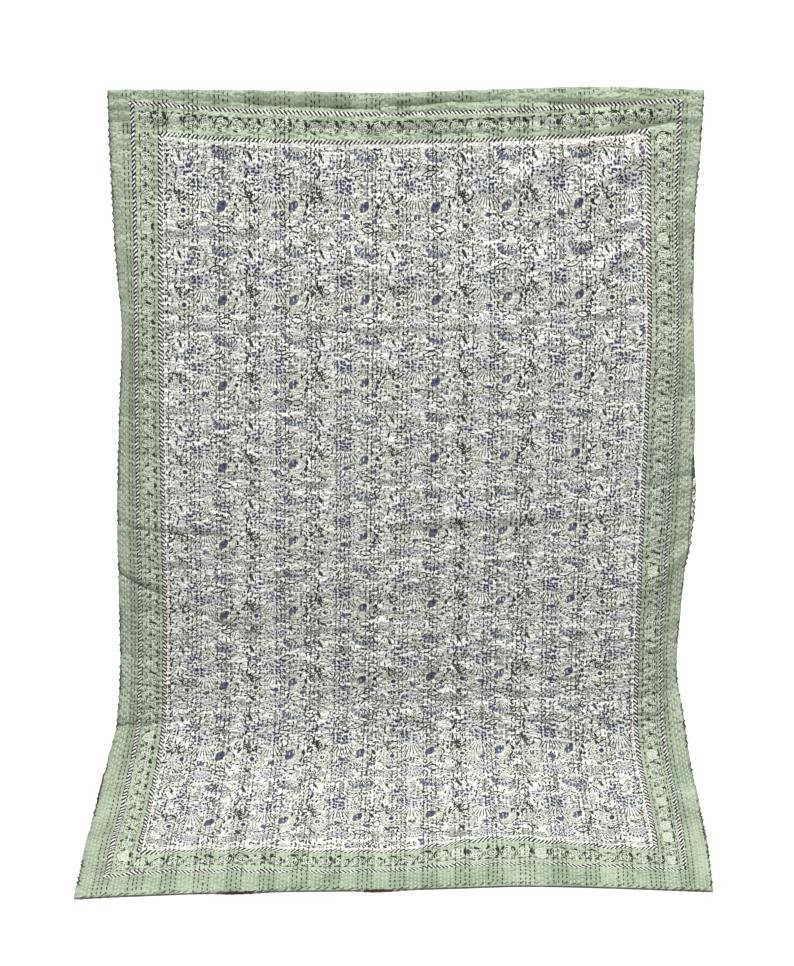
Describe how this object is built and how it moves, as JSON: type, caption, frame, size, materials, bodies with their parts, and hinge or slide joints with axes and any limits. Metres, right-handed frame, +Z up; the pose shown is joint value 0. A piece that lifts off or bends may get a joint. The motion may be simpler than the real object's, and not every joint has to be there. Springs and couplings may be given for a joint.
{
  "type": "kantha quilt",
  "caption": "Printed kantha bedspread quilt hung by its turned-over top edge, its lower end swept forward flat over the floor.",
  "frame": {"origin": "the middle of the top fold, where the quilt is held, on its surface at mid width", "axes": "+Z up, +X to the right of someone facing the printed side, -Y towards them; the foot lies on the floor on the -Y side"},
  "size_m": [1.5477, 1.0475, 1.7152],
  "materials": {
    "face_print": "Soft matt block-printed cotton: off-white panel with slate blue, grey green and black flowers inside sage green borders, puckered by running stitches in black and white thread.",
    "backing": "Soft matt cotton backing, off-white and pinkish with black marks and dark red patches near the edges."
  },
  "bodies": {
    "root": {"face_cloth": "face_print", "back_cloth": "backing"}
  },
  "joints": []
}
